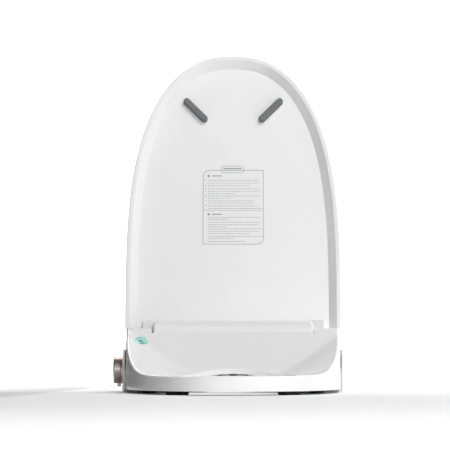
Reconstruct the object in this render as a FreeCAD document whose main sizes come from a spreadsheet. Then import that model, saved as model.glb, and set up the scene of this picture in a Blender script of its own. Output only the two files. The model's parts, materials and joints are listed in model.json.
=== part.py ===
"""Electric bidet seat: lid, seat ring and rear body with its washing, drying and water parts.

Frame: origin midway between the two fixing bolts on the toilet's rim plane, +X to the right of a
person facing the open seat, +Y towards the wall, +Z up.  Millimetres.  Rest pose: seat down, lid open.
"""
import FreeCAD, Part
import math
import os
import Sketcher
from FreeCAD import Placement, Rotation, Vector

doc = FreeCAD.newDocument("bidet_seat")
X_AXIS = Vector(1, 0, 0)
Y_AXIS = Vector(0, 1, 0)
Z_AXIS = Vector(0, 0, 1)

# ---------------------------------------------------------------- driving dimensions
SIZES = {
    # common hinge line of the lid and the seat
    "axis_y": 8, "axis_z": 96, "lid_lean": 8,
    # lid, measured from the hinge line along the lid and across its thickness
    "lid_width": 376, "lid_start": 16, "lid_end": 508, "lid_widest": 60,
    "lid_rim_drop": 18, "lid_floor_drop": 33, "lid_back_drop": 43, "lid_rim": 7, "lid_slope": 21,
    "lid_edge_round": 9, "lid_skin": 3.2, "lid_panel": 2.4,
    # seat ring, measured forwards from the hinge line
    "seat_width": 365, "seat_front": 478, "seat_widest": 6, "seat_rear": 43, "seat_under": 6,
    "seat_skin": 3.5, "seat_edge_round": 5, "hood_thick": 9, "hood_end": 104, "lip_end": 130,
    "lip_half": 92, "shoulder_top": 108,
    "edge_low": 29, "edge_slope": 0.285, "edge_start": 292, "edge_soft": 45,
    "ring_low": 27, "ramp_slope": 0.75, "ramp_start": 141, "ramp_soft": 8,
    "bank_slope": 0.5, "bank_soft": 2.5,
    "opening_width": 208, "opening_rear": 125, "opening_front": 405, "opening_widest": 240,
    # rear body
    "low_half": 181, "low_front": 92, "body_rear": 50, "split_z": 38, "deck_z": 72, "deck_start": 45,
    "hump_half": 137, "hump_front": 32, "hump_rear": 43.5, "hump_top": 121, "hump_round": 25,
    "hump_rear_round": 24, "hump_side_round": 4, "wall": 3,
    "panel_inner": 181.5, "panel_thick": 4.5, "panel_round": 2.2,
    "recess_top": 7.6, "recess_half": 123, "recess_reach": 46,
    # mounting plate and its bolt slots
    "plate_half": 120, "plate_reach": 43, "plate_thick": 6.5,
    "slot_radius": 4.3,
    # hinge hardware
    "arm_inner": 138.5, "arm_outer": 157.5, "boss_radius": 11, "ear_inner": 159.5, "ear_outer": 178,
    "arm_width": 19, "arm_back": -9, "arm_neck": 9, "arm_step": 17, "arm_step_end": 29,
    "arm_foot": 32, "arm_top": 32.9,
    "ear_radius": 12, "ear_root": 18, "shaft_radius": 5, "bush_radius": 7, "fit_gap": 0.05,
    "damper_radius": 11.5, "damper_length": 46, "damper_x": 131,
    # knob on the left panel
    "knob_y": -54, "knob_z": 37, "knob_radius": 23, "knob_reach": 16.5, "knob_ring": 3.4,
    "knob_shaft_radius": 4,
    # nozzles
    "nozzle_pitch": 26, "nozzle_radius": 7, "nozzle_length": 104, "nozzle_tilt": 28,
    "nozzle_tip_y": -87, "nozzle_tip_z": 26.5, "pinion_pitch": 6, "pinion_width": 5,
    "drive_back": 44, "drive_out": 15,
    # bolt slots and rounding of the mounting plate
    "slot_near": 55, "slot_far": 85, "slot_round": 4.29, "plate_round": 8,
    # insides and joints of the casing
    "split_top": 38.2, "low_width": 362, "low_width_in": 356, "low_inner": 178, "low_front_in": 89,
    "cover_front_in": 86.9, "deck_start_in": 44, "deck_in": 69, "body_rear_in": 47,
    "hump_width": 274, "hump_width_in": 268, "hump_front_in": 29, "hump_bend": 101,
    "hump_crown_in": 10, "hump_top_in": 118, "hump_crown_back": 19, "hump_rear_in": 40.5,
    "hump_wall_start": 133, "shaft_hole": 5.6, "side_cut": 6,
    "casing_depth": 27, "casing_deep": 34.6, "side_bay_near": 126, "side_bay_far": 176,
    "low_inner_cut": 177, "low_outer_cut": 183, "rear_from": 46, "rear_cut": 6,
    "screw_x": 150, "screw_front": -70, "screw_middle": -10, "screw_back": 38,
    "screw_hole": 1.5, "screw_seat": 3.6, "screw_sink": 2, "screw_floor": 4,
    "panel_outer": 186, "panel_outer_more": 188, "panel_inner_less": 180, "panel_cut": 12,
    "panel_top": 72, "knob_back": 54, "knob_hole": 5,
    # openings in the casing
    "port_half": 26, "port_low": 12, "port_high": 37, "port_depth": 5,
    "outlet_left": 57, "outlet_right": 87, "outlet_low": 14, "outlet_high": 34,
    "cassette_front": 2, "cassette_back": 34, "cassette_low": 13, "cassette_high": 35,
    "button_front": 40, "button_back": 22, "button_low": 12, "button_high": 23,
    "inlet_x": 150, "inlet_z": 26, "inlet_hole": 10.6, "cord_x": 150, "cord_z": 24, "gland_hole": 7,
    "drain_x": 100, "drain_z": 22, "drain_hole": 6,
}

sheet = doc.addObject("Spreadsheet::Sheet", "dims")


def store(name, value):
    """Put one plain number in the next free cell and give the cell its alias."""
    store.row += 1
    cell = f"A{store.row}"
    sheet.set(cell, str(value))
    sheet.setAlias(cell, name)


store.row = 0
for size_name, size_value in SIZES.items():
    store(size_name, size_value)
doc.recompute()


def dim(name):
    """Value of an alias, a negated alias or a plain number given as text or number."""
    if isinstance(name, (int, float)):
        return float(name)
    if name.startswith("-"):
        return -dim(name[1:])
    if name in SIZES:
        return float(getattr(sheet, name))
    return float(name)


def bound(name):
    """The same value as an expression on the sheet."""
    if isinstance(name, (int, float)):
        return str(name)
    if name.startswith("-"):
        return "-" + bound(name[1:])
    return "dims." + name if name in SIZES else name


# ---------------------------------------------------------------- helpers
nodes = {}


def keep(obj, name, placement=None):
    """Register a finished sub-part under its node name."""
    obj.Label = name
    if placement is not None:
        obj.Placement = placement
    nodes[name] = obj
    return obj


def new_body(name):
    body = doc.addObject("PartDesign::Body", "body_" + name)
    return keep(body, name)


def new_sketch(body, role, loops, offset=0):
    """Sketch of polygons [(a, b), ...] and circles (a, b, radius) on an origin plane of the body."""
    sketch = body.newObject("Sketcher::SketchObject", body.Label + "_sketch")
    plane = [item for item in body.Origin.OriginFeatures if item.Role == role][0]
    sketch.AttachmentSupport = [(plane, "")]
    sketch.MapMode = "FlatFace"
    sketch.AttachmentOffset = Placement(Vector(0, 0, dim(offset)), Rotation())
    if offset:
        sketch.setExpression("AttachmentOffset.Base.z", bound(offset))
    for loop in loops:
        if isinstance(loop, tuple):
            across, up, radius = loop
            circle = Part.Circle(Vector(dim(across), dim(up), 0), Z_AXIS, dim(radius))
            index = sketch.addGeometry(circle)
            bind_point(sketch, index, 3, across, up)
            number = sketch.addConstraint(Sketcher.Constraint("Radius", index, dim(radius)))
            sketch.setExpression(f"Constraints[{number}]", bound(radius))
            continue
        first = sketch.GeometryCount
        corners = [Vector(dim(across), dim(up), 0) for across, up in loop]
        for index, corner in enumerate(corners):
            sketch.addGeometry(Part.LineSegment(corner, corners[(index + 1) % len(corners)]))
        for index in range(len(corners)):
            following = first + (index + 1) % len(corners)
            sketch.addConstraint(Sketcher.Constraint("Coincident", first + index, 2, following, 1))
        for index, (across, up) in enumerate(loop):
            bind_point(sketch, first + index, 1, across, up)
    return sketch


def bind_point(sketch, index, place, across, up):
    """Tie one sketch point to its two coordinates on the sheet."""
    for kind, value in (("DistanceX", across), ("DistanceY", up)):
        number = sketch.addConstraint(Sketcher.Constraint(kind, -1, 1, index, place, dim(value)))
        sketch.setExpression(f"Constraints[{number}]", bound(value))


def rectangle(left, bottom, right, top):
    return [(left, bottom), (right, bottom), (right, top), (left, top)]


def add_pad(body, role, loops, length, offset=0, both_ways=False, flip=False):
    """Pad that starts on the (offset) plane, or lies half on each side of it."""
    pad = body.newObject("PartDesign::Pad", body.Label + "_pad")
    pad.Profile = new_sketch(body, role, loops, offset)
    pad.setExpression("Length", bound(length))
    pad.Midplane = both_ways
    pad.Reversed = flip
    doc.recompute()
    return pad


def add_pocket(body, role, loops, length, offset=0, both_ways=False, flip=False):
    """Pocket checked by volume: it has to take something away."""
    before = body.Shape.Volume
    pocket = body.newObject("PartDesign::Pocket", body.Label + "_pocket")
    pocket.Profile = new_sketch(body, role, loops, offset)
    pocket.setExpression("Length", bound(length))
    pocket.Midplane = both_ways
    pocket.Reversed = flip
    doc.recompute()
    if body.Shape.Volume > before - 1:
        raise RuntimeError(body.Label + ": a pocket removes nothing")
    return pocket


def round_edges(body, radius, wanted, kind="PartDesign::Fillet"):
    """Fillet or chamfer the edges of the body that pass the test."""
    base = body.Tip
    picked = [f"Edge{number}" for number, edge in enumerate(base.Shape.Edges, 1) if wanted(edge)]
    rounding = body.newObject(kind, body.Label + "_round")
    rounding.Base = (base, picked)
    rounding.setExpression("Size" if kind.endswith("Chamfer") else "Radius", bound(radius))
    doc.recompute()
    return rounding


def runs_along(edge, axis):
    """True for a straight edge parallel to the axis."""
    return isinstance(edge.Curve, Part.Line) and abs(edge.Curve.Direction.dot(axis)) > 0.999


def middle(edge):
    return edge.CenterOfMass


def feature(name, shape, placement=None):
    """Sub-part whose shape is worked out below from the sheet's values."""
    obj = doc.addObject("Part::Feature", "shape_" + name)
    obj.Shape = shape
    return keep(obj, name, placement)


def box(left, front, bottom, right, back, top):
    """Box between two opposite corners."""
    return Part.makeBox(right - left, back - front, top - bottom, Vector(left, front, bottom))


def rod(start, direction, radius, length):
    return Part.makeCylinder(radius, length, start, direction)


def block(name, centre, size, round_by=0):
    """Part::Box bound to the sheet; centre is the middle of its underside."""
    for key, value in zip(("long", "deep", "tall"), size):
        SIZES[f"{name}_{key}"] = value
        store(f"{name}_{key}", value)
    doc.recompute()
    obj = doc.addObject("Part::Box", "box_" + name)
    obj.setExpression("Length", f"dims.{name}_long")
    obj.setExpression("Width", f"dims.{name}_deep")
    obj.setExpression("Height", f"dims.{name}_tall")
    corner = Vector(centre[0] - size[0] / 2, centre[1] - size[1] / 2, centre[2])
    obj.Placement = Placement(corner, Rotation())
    doc.recompute()
    if not round_by:
        return obj
    rounded = doc.addObject("Part::Fillet", "round_" + name)
    rounded.Base = obj
    rounded.Edges = [(number, round_by, round_by) for number in range(1, 13)]
    doc.recompute()
    return rounded


def cylinder(name, start, direction, radius, length):
    """Part::Cylinder bound to the sheet, along the given direction."""
    for key, value in (("radius", radius), ("length", length)):
        SIZES[f"{name}_{key}"] = value
        store(f"{name}_{key}", value)
    doc.recompute()
    obj = doc.addObject("Part::Cylinder", "rod_" + name)
    obj.setExpression("Radius", f"dims.{name}_radius")
    obj.setExpression("Height", f"dims.{name}_length")
    obj.Placement = Placement(start, Rotation(Z_AXIS, direction))
    doc.recompute()
    return obj


def joined(name, pieces):
    """Part::MultiFuse of primitives."""
    fuse = doc.addObject("Part::MultiFuse", "fuse_" + name)
    fuse.Shapes = pieces
    fuse.Refine = True
    doc.recompute()
    return fuse


def without(name, base, tool):
    """Part::Cut of two objects."""
    cut = doc.addObject("Part::Cut", "cut_" + name)
    cut.Base = base
    cut.Tool = tool
    doc.recompute()
    return cut


# ---------------------------------------------------------------- egg-shaped outlines
# powers across the width and along the length: the lid is blunt, the seat rounder
LID_EGG = (2.3, 3.0)
SEAT_EGG = (2.6, 2.0)
EGG_STEPS = 14


def egg_half(half_width, widest, tip, inset=0.0, powers=LID_EGG, steps=EGG_STEPS):
    """Points from the widest place round to the tip, moved inwards square to the outline."""
    reach = tip - widest
    side_power, end_power = powers
    points = []
    for step in range(steps + 1):
        angle = math.pi / 2 * (step / steps) ** 1.35
        across = max(math.cos(angle), 0.0) ** (2 / side_power)
        along = math.sin(angle) ** (2 / end_power)
        normal = Vector(side_power * across ** (side_power - 1) / half_width,
                        end_power * along ** (end_power - 1) / reach, 0)
        normal.normalize()
        points.append(Vector(half_width * across, widest + reach * along, 0) - normal * inset)
    return points


def mirrored(points):
    return [Vector(-point.x, point.y, point.z) for point in reversed(points)]


def egg_wire(half_width, start, widest, tip, inset=0.0, rear_inset=0.0, height=0.0, powers=LID_EGG):
    """Outline with a straight rear end, as a closed wire at the given height."""
    right = egg_half(half_width, widest, tip, inset, powers)
    points = right + mirrored(right)[1:]
    for point in points:
        point.z = height
    nose = Part.BSplineCurve()
    nose.interpolate(points, InitialTangent=Y_AXIS, FinalTangent=-Y_AXIS)
    rear_right = Vector(points[0].x, start + rear_inset, height)
    rear_left = Vector(-points[0].x, start + rear_inset, height)
    return Part.Wire([Part.LineSegment(rear_right, points[0]).toShape(), nose.toShape(),
                      Part.LineSegment(points[-1], rear_left).toShape(),
                      Part.LineSegment(rear_left, rear_right).toShape()])


def egg_prism(half_width, start, widest, tip, bottom, top, inset=0.0, rear_inset=0.0, powers=LID_EGG):
    wire = egg_wire(half_width, start, widest, tip, inset, rear_inset, bottom, powers)
    return Part.Face(wire).extrude(Vector(0, 0, top - bottom))


# ---------------------------------------------------------------- seat ring
# The seat is worked out in (x, forward, z) with forward = axis_y - y.
def smooth_ramp(value, softness):
    """Zero below 0, value above 0, with a soft bend between."""
    return softness * math.log1p(math.exp(value / softness))


def seat_height(across, forward):
    """Top surface: low flat ring, a ramp up to the rear, outer edges rising towards the shoulders."""
    edge = dim("edge_low") + dim("edge_slope") * smooth_ramp(dim("edge_start") - forward, dim("edge_soft"))
    ramp = smooth_ramp(dim("ramp_start") - forward, dim("ramp_soft"))
    middle_height = dim("ring_low") + dim("ramp_slope") * ramp
    half = dim("seat_width") / 2
    reach = max(forward - dim("seat_widest"), 0) / (dim("seat_front") - dim("seat_widest"))
    side_power, end_power = SEAT_EGG
    share = (abs(across) / half) ** side_power + reach ** end_power
    inwards = half * (1 - share ** (1 / side_power))
    bank = edge - dim("bank_slope") * inwards
    return middle_height + smooth_ramp(bank - middle_height, dim("bank_soft"))


def height_field(drop=0.0, bottom=-40.0):
    """Solid under the seat's top surface, lowered by drop."""
    columns = 30
    rows = 50
    half = 190.0
    first = -30.0
    last = 500.0
    grid = []
    for column in range(columns + 1):
        across = -half + 2 * half * column / columns
        line = []
        for row in range(rows + 1):
            forward = last + (first - last) * row / rows
            height = seat_height(across, forward) - drop
            line.append(Vector(across, dim("axis_y") - forward, height))
        grid.append(line)
    surface = Part.BSplineSurface()
    surface.interpolate(grid)
    face = surface.toShape()
    solid = face.extrude(Vector(0, 0, -300))
    keep_box = box(-half - 1, dim("axis_y") - last - 1, bottom, half + 1, dim("axis_y") - first + 1, 300)
    return solid.common(keep_box)


def forward_flip(shape):
    """From (x, forward, z) to the frame: forward becomes -Y from the hinge line."""
    turned = shape.mirror(Vector(0, 0, 0), Y_AXIS)
    turned.translate(Vector(0, dim("axis_y"), 0))
    return turned


def opening_wire(outset=0.0, height=0.0):
    """Closed outline of the opening: two egg halves joined at the widest place."""
    half = dim("opening_width") / 2
    widest = dim("opening_widest")
    front = egg_half(half, widest, dim("opening_front"), -outset, (2.3, 2.2))
    rear = egg_half(half, widest, 2 * widest - dim("opening_rear"), -outset, (2.3, 2.4))
    rear = [Vector(point.x, 2 * widest - point.y, 0) for point in rear]
    points = front + mirrored(front)[1:]
    points += [Vector(-point.x, point.y, 0) for point in rear[1:]]
    points += list(reversed(rear))[1:-1]
    for point in points:
        point.z = height
    loop = Part.BSplineCurve()
    loop.interpolate(points, PeriodicFlag=True)
    return Part.Wire([loop.toShape()])


def seat_prism(inset, bottom, top):
    """Ring between the outer outline and the opening, without the place of the rear body."""
    half = dim("seat_width") / 2
    outer = egg_prism(half, 0, dim("seat_widest"), dim("seat_front"), bottom, top, inset, 0, SEAT_EGG)
    hole = Part.Face(opening_wire(inset, bottom)).extrude(Vector(0, 0, top - bottom))
    notch_half = dim("arm_inner") + 1 + inset
    notch = box(-notch_half, -60, bottom - 1, notch_half, dim("seat_rear") + inset, top + 1)
    arm_half = dim("arm_outer") + 1 + inset
    arm_room = box(-arm_half, -60, bottom - 1, arm_half, 18 + inset, top + 1)
    return forward_flip(outer.cut(hole).cut(notch).cut(arm_room))


def hood_space(grow=0.0):
    """Space under the raised rear of the seat, over the front of the body."""
    low = -60.0
    wide = forward_flip(box(-200, -80, low, 200, dim("hood_end") + grow, 150))
    lip = dim("lip_half") + grow
    narrow = forward_flip(box(-lip, -80, low, lip, dim("lip_end") + grow, 150))
    return wide.fuse(narrow).removeSplitter()


def make_seat():
    ear_low = dim("axis_z") - dim("ear_radius")
    axis_y = dim("axis_y")
    ears = []
    for side in (-1, 1):
        inner = side * dim("ear_inner")
        outer = side * dim("ear_outer")
        left = min(inner, outer)
        right = max(inner, outer)
        ears.append(box(left, axis_y - 46, ear_low, right, axis_y, 150))
    under_hood = height_field(dim("hood_thick"), -60).common(hood_space())
    for ear in ears:
        under_hood = under_hood.cut(ear)
    slab = box(-200, -520, dim("seat_under"), 200, 60, dim("shoulder_top"))
    body = height_field().common(seat_prism(0, -60, 160)).common(slab).cut(under_hood)
    # rounded outer edge of the top, right round the front
    rim = []
    for number, edge in enumerate(body.Edges):
        box_of = edge.BoundBox
        if box_of.YMin < -400 and box_of.XLength > 250 and box_of.ZMax > 20:
            rim.append(edge)
    solid = body.makeFillet(dim("seat_edge_round"), rim)
    for side in (-1, 1):
        inner = side * dim("ear_inner")
        length = dim("ear_outer") - dim("ear_inner")
        boss = rod(Vector(inner, axis_y, dim("axis_z")), X_AXIS * side, dim("ear_radius"), length)
        solid = solid.fuse(boss)
    return solid


def make_seat_parts():
    """Upper moulding with its outer walls, lower moulding, and the heating foil between them."""
    solid = make_seat()
    axis_y = dim("axis_y")
    skin = dim("seat_skin")
    bottom = dim("seat_under")
    ear_keep = None
    for side in (-1, 1):
        left = min(side * dim("ear_inner"), side * 200) - 1
        right = max(side * dim("ear_inner"), side * 200) + 1
        ear_box = box(left, dim("axis_y") - 44, 70, right, 60, 150)
        ear_keep = ear_box if ear_keep is None else ear_keep.fuse(ear_box)
    inside = seat_prism(skin, bottom - 1, 160).cut(ear_keep)
    top_shell = solid.cut(height_field(skin, bottom - 1).common(inside))

    tray_area = seat_prism(skin + 0.15, bottom - 1, 160).cut(ear_keep)
    tray = solid.common(height_field(skin + 1.3, bottom - 1).common(tray_area))
    room = box(-200, -520, bottom + 3, 200, 60, 160).cut(hood_space(3.0))
    bottom_shell = tray.cut(room)

    foil_area = seat_prism(skin + 6, bottom - 1, 160)
    foil_area = foil_area.common(forward_flip(box(-200, 52, 0, 200, 470, 160)))
    foil = height_field(skin + 0.1, 0).common(foil_area).cut(height_field(skin + 1.0, -1))
    ear_area = box(-200, axis_y - dim("ear_root"), 0, 200, 60, 160)
    return top_shell.cut(ear_area), top_shell.common(ear_area), bottom_shell, foil


def seat_sample(across, forward):
    """Point of the seat's top surface in the frame."""
    return Vector(across, dim("axis_y") - forward, seat_height(across, forward))


def pill(centre, direction, length, width, low, high, edge):
    """Upright pad with round ends, lying along the direction, with a rounded free end."""
    along = Vector(direction.x, direction.y, 0)
    along.normalize()
    reach = (length - width) / 2
    radius = width / 2
    first = Vector(centre.x, centre.y, low) - along * reach
    second = Vector(centre.x, centre.y, low) + along * reach
    solid = rod(first, Z_AXIS, radius, high - low).fuse(rod(second, Z_AXIS, radius, high - low))
    middle_box = Part.makeBox(2 * reach, width, high - low)
    middle_box.translate(Vector(-reach, -radius, 0))
    middle_box.Placement = Placement(Vector(centre.x, centre.y, low),
                                     Rotation(X_AXIS, along)).multiply(middle_box.Placement)
    solid = solid.fuse(middle_box).removeSplitter()
    picked = [item for item in solid.Edges if abs(item.BoundBox.ZMax - edge) < 0.01
              and item.BoundBox.ZLength < 0.01]
    return solid.makeFillet(min(radius * 0.55, 2.6), picked)


def build_seat():
    top_shell, ears, bottom_shell, foil = make_seat_parts()
    feature("seat_top_shell", top_shell)
    feature("seat_hinge_ears", bore_seat_ears(ears))
    feature("seat_bottom_shell", bottom_shell)
    feature("seat_heater_foil", foil)
    # four rubber feet under the ring, on the rim of the bowl
    feet = []
    for forward, across, turn in ((398, 86, 0.9), (175, 137, 2.8)):
        for side in (-1, 1):
            centre = Vector(side * across, dim("axis_y") - forward, 0)
            feet.append(pill(centre, Vector(1, side * turn, 0), 44, 15, 0, dim("seat_under"), 0.0))
    feature("seat_feet", Part.makeCompound(feet))
    # round generic mark let into the left shoulder
    spot = seat_sample(-156, 63)
    mark = rod(Vector(spot.x, spot.y, spot.z - 40), Z_AXIS, 11.2, 80)
    mark = mark.common(height_field(-0.25, 0)).cut(height_field(-0.01, -1))
    feature("seat_mark", mark)


# ---------------------------------------------------------------- lid
# Lid coordinates: x, distance from the hinge line, and height towards the person.
def lid_place():
    turn = Rotation(X_AXIS, 90 - dim("lid_lean"))
    return Placement(Vector(0, dim("axis_y"), dim("axis_z")), turn)


def lid_prism(inset, rear_inset, low, high):
    half = dim("lid_width") / 2
    start = dim("lid_start")
    return egg_prism(half, start, dim("lid_widest"), dim("lid_end"), low, high, inset, rear_inset)


def lid_bowl(inset, drop, rear_inset=0.0):
    """Dish between the rim edge and the sunken floor, widened by a smaller inset."""
    half = dim("lid_width") / 2
    start = dim("lid_start") - 1
    widest = dim("lid_widest")
    end = dim("lid_end")
    rim = dim("lid_rim") + inset
    slope = dim("lid_slope") + inset
    upper = egg_wire(half, start, widest, end, rim, rear_inset, -dim("lid_rim_drop") + 0.01)
    lower = egg_wire(half, start, widest, end, slope, rear_inset, -dim("lid_floor_drop") - drop)
    return Part.makeLoft([lower, upper], True, True)


def build_lid():
    place = lid_place()
    rim_drop = dim("lid_rim_drop")
    back = dim("lid_back_drop")
    skin = dim("lid_skin")
    panel = dim("lid_panel")
    blank = lid_prism(0, 0, -back, -rim_drop)
    outer_edges = []
    for edge in blank.Edges:
        low_edge = edge.BoundBox.ZMax < -back + 0.01
        if low_edge:
            outer_edges.append(edge)
    blank = blank.makeFillet(dim("lid_edge_round"), outer_edges)
    rim_edges = [edge for edge in blank.Edges
                 if edge.BoundBox.ZMin > -rim_drop - 0.01 and edge.BoundBox.YMax > dim("lid_start") + 1]
    blank = blank.makeFillet(1.6, rim_edges)
    inner_floor = dim("lid_floor_drop") + panel
    pan = lid_bowl(-panel, panel)
    hollow = lid_prism(skin + dim("lid_rim") - 2, 4, -back + skin, -inner_floor + 0.01)
    outer_shell = blank.cut(pan).cut(hollow)
    feature("lid_outer_shell", outer_shell, place)
    lip = 0.12
    tray = lid_bowl(lip - panel, panel - lip).cut(lid_bowl(0, 0))
    tray = tray.common(lid_prism(0, 1.2, -back, -rim_drop - 0.6))
    feature("lid_inner_panel", tray, place)
    build_lid_fittings(place)


def build_lid_fittings(place):
    floor = -dim("lid_floor_drop")
    # two rubber buffers in a V near the tip
    for side, side_name in ((-1, "left"), (1, "right")):
        centre = Vector(side * 67, dim("lid_end") - 98, 0)
        buffer = pill(centre, Vector(side, 1, 0), 56, 11.5, floor + 0.02, floor + 11.3, floor + 11.3)
        feature(f"lid_buffer_{side_name}", buffer, place)
    label = box(-54, 167, floor + 0.02, 54, 302, floor + 0.42)
    upright = [edge for edge in label.Edges if edge.BoundBox.ZLength > 0.3]
    rounded = [edge for edge in upright if (edge.BoundBox.XMin < 0) == (edge.BoundBox.YMin > 200)]
    feature("lid_label", label.makeFillet(12, rounded), place)


def build_lid_arms():
    """Both arms, drawn in the lid's own coordinates (sketch axes: along the lid, towards the person)."""
    for side, side_name in ((-1, "left"), (1, "right")):
        body = new_body(f"lid_arm_{side_name}")
        outline = [("arm_back", 0), ("arm_neck", 0), ("arm_neck", "-arm_step"), ("arm_foot", "-arm_step_end"),
                   ("arm_foot", "-arm_top"), ("arm_back", "-arm_top")]
        start = "arm_inner" if side > 0 else "-arm_outer"
        add_pad(body, "YZ_Plane", [outline], "arm_width", start)
        boss = body.newObject("PartDesign::Pad", body.Label + "_boss")
        boss.Profile = new_sketch(body, "YZ_Plane", [("0", "0", "boss_radius")], start)
        boss.setExpression("Length", bound("arm_width"))
        doc.recompute()
        bore = "bush_radius" if side > 0 else "shaft_radius"
        add_pocket(body, "YZ_Plane", [("0", "0", bore)], "arm_width", start, flip=True)
        keep(body, f"lid_arm_{side_name}", lid_place())


# ---------------------------------------------------------------- hinge hardware
def ring(start, direction, inner, outer, length):
    return rod(start, direction, outer, length).cut(rod(start, direction, inner, length))


def build_hinges():
    """Left: damper and shaft of the lid; right: damper and shaft of the seat."""
    line = Vector(0, dim("axis_y"), dim("axis_z"))
    gap = dim("fit_gap")
    shaft = dim("shaft_radius")
    bush = dim("bush_radius")
    length = dim("damper_length")
    for side, owner in ((-1, "lid"), (1, "seat")):
        outward = X_AXIS * side
        start = line + outward * (dim("damper_x") - length)
        barrel = rod(start, outward, dim("damper_radius"), length)
        barrel = barrel.fuse(box(side * 108 - 9, line.y - 11, line.z - 19,
                                 side * 108 + 9, line.y + 11, line.z))
        barrel = barrel.cut(rod(start + outward * 12, outward, shaft + gap, length))
        feature(f"{owner}_damper", barrel)
        end = dim("ear_outer") - 3 if owner == "seat" else dim("ear_outer") - 4
        spindle = rod(start + outward * 13, outward, shaft, end - dim("damper_x") + length - 13)
        feature(f"{owner}_hinge_shaft", spindle)
        # the shaft turns freely in a bush in the other part
        if owner == "lid":
            bearing_start = line + outward * (dim("ear_inner") + 0.5)
            bearing_length = dim("ear_outer") - dim("ear_inner") - 3.5
            bearing = ring(bearing_start, outward, shaft + gap, bush, bearing_length)
            feature("seat_ear_bush", bearing)
        else:
            bearing_start = line + outward * (dim("arm_inner") + 0.5)
            bearing = ring(bearing_start, outward, shaft + gap, bush, dim("arm_width") - 1)
            feature("lid_arm_bush", bearing)


def bore_seat_ears(solid):
    """Left ear takes the bush, right ear the seat's own shaft."""
    line = Vector(0, dim("axis_y"), dim("axis_z"))
    depth = dim("ear_outer") - dim("ear_inner") - 3
    left = rod(line - X_AXIS * dim("ear_inner"), -X_AXIS, dim("bush_radius"), depth)
    right = rod(line + X_AXIS * dim("ear_inner"), X_AXIS, dim("shaft_radius"), depth)
    return solid.cut(left).cut(right)


# ---------------------------------------------------------------- rear body
def build_mounting_plate():
    body = new_body("mounting_plate")
    add_pad(body, "XY_Plane", [rectangle("-plate_half", "-plate_reach", "plate_half", "plate_reach")],
            "plate_thick")
    slots = []
    for side in ("", "-"):
        inner = side + "slot_near"
        outer = side + "slot_far"
        left, right = (inner, outer) if side == "" else (outer, inner)
        slots.append(rectangle(left, "-slot_radius", right, "slot_radius"))
    add_pocket(body, "XY_Plane", slots, "plate_thick", flip=True)
    round_edges(body, "slot_round", lambda edge: runs_along(edge, Z_AXIS) and abs(middle(edge).y) < 6)
    round_edges(body, "plate_round", lambda edge: runs_along(edge, Z_AXIS) and abs(middle(edge).y) > 20)


def build_base_casing():
    body = new_body("base_casing")
    front = "-low_front"
    add_pad(body, "XY_Plane", [rectangle("-low_half", front, "low_half", "body_rear")], "split_z")
    inner = rectangle("-low_inner", "-low_front_in", "low_inner", "body_rear_in")
    add_pocket(body, "XY_Plane", [inner], "casing_depth", "split_z")
    recess = rectangle("-recess_half", "-recess_reach", "recess_half", "recess_reach")
    add_pocket(body, "XY_Plane", [recess], "recess_top", flip=True)
    for side in ("", "-"):
        near, far = side + "side_bay_near", side + "side_bay_far"
        left, right = (near, far) if side == "" else (far, near)
        add_pocket(body, "XY_Plane", [rectangle(left, "-low_front_in", right, "body_rear_in")],
                   "casing_deep", "split_z")
    # nozzle port and warm-air outlet in the front wall
    ports = [rectangle("-port_half", "port_low", "port_half", "port_high"),
             rectangle("outlet_left", "outlet_low", "outlet_right", "outlet_high")]
    add_pocket(body, "XZ_Plane", ports, "port_depth", "low_front", flip=False)
    # rear wall: water inlet, cord entry and drain
    rear = [("-inlet_x", "inlet_z", "inlet_hole"), ("cord_x", "cord_z", "gland_hole"),
            ("-drain_x", "drain_z", "drain_hole")]
    add_pocket(body, "XZ_Plane", rear, "rear_cut", "-rear_from")
    # right wall: filter cassette and release button; left wall: knob shaft
    right = [rectangle("cassette_front", "cassette_low", "cassette_back", "cassette_high"),
             rectangle("-button_front", "button_low", "-button_back", "button_high")]
    add_pocket(body, "YZ_Plane", right, "side_cut", "low_inner_cut", flip=True)
    add_pocket(body, "YZ_Plane", [("-knob_back", "knob_z", "knob_hole")], "side_cut", "-low_outer_cut",
               flip=True)
    for radius, depth in (("screw_seat", "screw_sink"), ("screw_hole", "screw_floor")):
        spots = [(side + "screw_x", along, radius) for side in ("", "-")
                 for along in ("screw_front", "screw_middle", "screw_back")]
        add_pocket(body, "XY_Plane", spots, depth, flip=True)


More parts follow.
